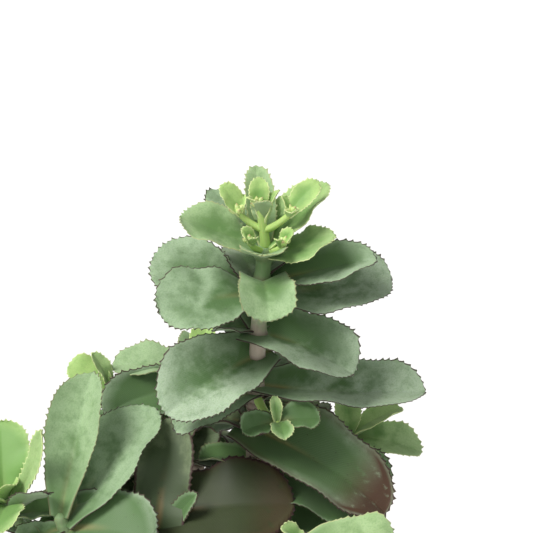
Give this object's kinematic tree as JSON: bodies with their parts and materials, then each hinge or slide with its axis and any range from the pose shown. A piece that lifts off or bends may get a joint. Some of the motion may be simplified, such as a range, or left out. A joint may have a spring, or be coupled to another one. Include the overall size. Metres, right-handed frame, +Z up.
{
  "type": "potted sedum",
  "caption": "Leafy garden sedum with broad fleshy toothed leaves and a budding flower head, growing in a plain clay pot of soil.",
  "frame": {"origin": "centre of the pot's flat base, on the surface it stands on", "axes": "+Z up along the plant, -Y towards the side the picture was taken from, +X to the right of the picture"},
  "size_m": [0.2869, 0.1835, 0.4022],
  "materials": {
    "pot": "unglazed terracotta, dry and slightly chalky",
    "soil": "dark crumbly potting soil",
    "plant": "waxy grey-green living leaf with purple-brown toothed margins"
  },
  "bodies": {
    "root": {"pot": "pot", "soil": "soil", "stem_main": "plant", "stem_left": "plant", "stem_centre_left": "plant", "stem_far_left": "plant", "stem_behind": "plant", "stem_back_left": "plant", "stem_right": "plant", "stem_front": "plant"}
  },
  "joints": []
}
